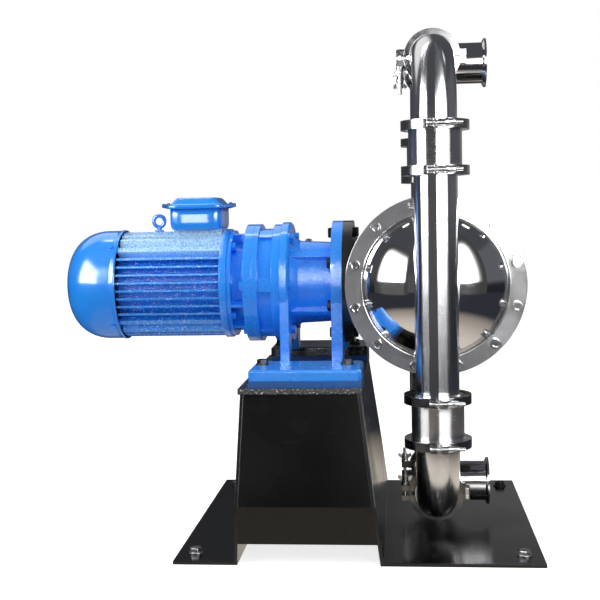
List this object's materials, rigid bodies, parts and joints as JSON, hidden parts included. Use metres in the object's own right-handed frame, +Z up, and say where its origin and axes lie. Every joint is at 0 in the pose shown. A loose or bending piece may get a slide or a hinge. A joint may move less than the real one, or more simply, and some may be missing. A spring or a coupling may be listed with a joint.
{
  "type": "sanitary electric diaphragm pump",
  "caption": "Sanitary double diaphragm pump driven by a geared motor on a bent sheet pedestal, with ball valves in clamped polished tube.",
  "frame": {"origin": "centre of the floor bolt pattern, on the floor", "axes": "+Z up, +X from the motor towards the two ports, +Y towards the hidden rear chamber"},
  "size_m": [0.873, 0.6032, 0.9333],
  "materials": {
    "sheet_black": "gloss",
    "spacer_navy": "gloss",
    "bolt_black": "satin",
    "drive_blue": "gloss",
    "steel": "satin",
    "core": "matte",
    "box_black": "gloss",
    "polished": "polished",
    "satin_steel": "satin",
    "membrane": "matte",
    "ball": "satin",
    "gasket": "matte",
    "fan_black": "matte",
    "terminal": "satin"
  },
  "bodies": {
    "frame": {"base_left": "sheet_black", "base_right": "sheet_black", "front_skirt": "sheet_black", "rear_skirt": "sheet_black", "top_plate": "sheet_black", "foot_spacers": "spacer_navy", "foot_bolts": "bolt_black", "reducer_case": "drive_blue", "pin_gear_case": "drive_blue", "ring_pins": "steel", "input_flange": "drive_blue", "case_bolts": "drive_blue", "breather": "steel", "motor_shell": "drive_blue", "motor_frame": "drive_blue", "stator_core": "core", "fan_cover": "drive_blue", "fan_screws": "drive_blue", "eyebolt": "drive_blue", "terminal_box": "drive_blue", "terminal_lid": "drive_blue", "lid_screws": "steel", "terminal_block": "terminal", "motor_bolts": "drive_blue", "shaft_bearings": "steel", "drive_box": "box_black", "chamber_adapters": "box_black", "drive_bolts": "bolt_black", "front_chamber": "polished", "rear_chamber": "polished", "chamber_bolts": "satin_steel", "diaphragm_rims": "membrane", "spool_upper_front": "polished", "spool_upper_rear": "polished", "spool_lower_front": "polished", "spool_lower_rear": "polished", "elbow_upper_front": "polished", "elbow_upper_rear": "polished", "elbow_lower_front": "polished", "elbow_lower_rear": "polished", "outlet_tee": "polished", "inlet_tee": "polished", "gaskets": "gasket", "clamps": "satin_steel", "clamp_screws": "satin_steel"},
    "crank": {"crank": "steel"},
    "block": {"slide_block": "steel"},
    "rotor": {"rotor": "steel", "fan": "fan_black"},
    "disc_a": {"cycloid_disc_a": "steel"},
    "disc_b": {"cycloid_disc_b": "steel"},
    "rod": {"yoke": "steel", "diaphragm_plates": "polished", "diaphragm_front": "membrane", "diaphragm_rear": "membrane"},
    "ball_uf": {"ball_upper_front": "ball"},
    "ball_ur": {"ball_upper_rear": "ball"},
    "ball_lf": {"ball_lower_front": "ball"},
    "ball_lr": {"ball_lower_rear": "ball"}
  },
  "joints": [
    {"name": "crank_spin", "type": "hinge", "parent": "frame", "child": "crank", "pos_m": [0.142, 0, 0.471], "axis": [1, 0, 0], "continuous": true},
    {"name": "block_swivel", "type": "hinge", "parent": "crank", "child": "block", "pos_m": [0.142, 0, 0.461], "axis": [1, 0, 0], "continuous": true},
    {"name": "rotor_spin", "type": "hinge", "parent": "frame", "child": "rotor", "pos_m": [-0.35, 0, 0.471], "axis": [1, 0, 0], "continuous": true},
    {"name": "disc_a_spin", "type": "hinge", "parent": "rotor", "child": "disc_a", "pos_m": [-0.186, 0, 0.468], "axis": [1, 0, 0], "continuous": true},
    {"name": "disc_b_spin", "type": "hinge", "parent": "rotor", "child": "disc_b", "pos_m": [-0.172, 0, 0.474], "axis": [1, 0, 0], "continuous": true},
    {"name": "rod_slide", "type": "slide", "parent": "frame", "child": "rod", "axis": [0, 1, 0], "range_m": [-0.01, 0.01]},
    {"name": "valve_uf", "type": "slide", "parent": "frame", "child": "ball_uf", "axis": [0, 0, 1], "range_m": [0, 0.012]},
    {"name": "valve_ur", "type": "slide", "parent": "frame", "child": "ball_ur", "axis": [0, 0, 1], "range_m": [0, 0.012]},
    {"name": "valve_lf", "type": "slide", "parent": "frame", "child": "ball_lf", "axis": [0, 0, 1], "range_m": [0, 0.012]},
    {"name": "valve_lr", "type": "slide", "parent": "frame", "child": "ball_lr", "axis": [0, 0, 1], "range_m": [0, 0.012]}
  ],
  "couplings": [
    {"joint": "block_swivel", "follows": "crank_spin", "ratio": -1},
    {"joint": "rotor_spin", "follows": "crank_spin", "ratio": -11},
    {"joint": "disc_a_spin", "follows": "crank_spin", "ratio": 12},
    {"joint": "disc_b_spin", "follows": "crank_spin", "ratio": 12}
  ]
}
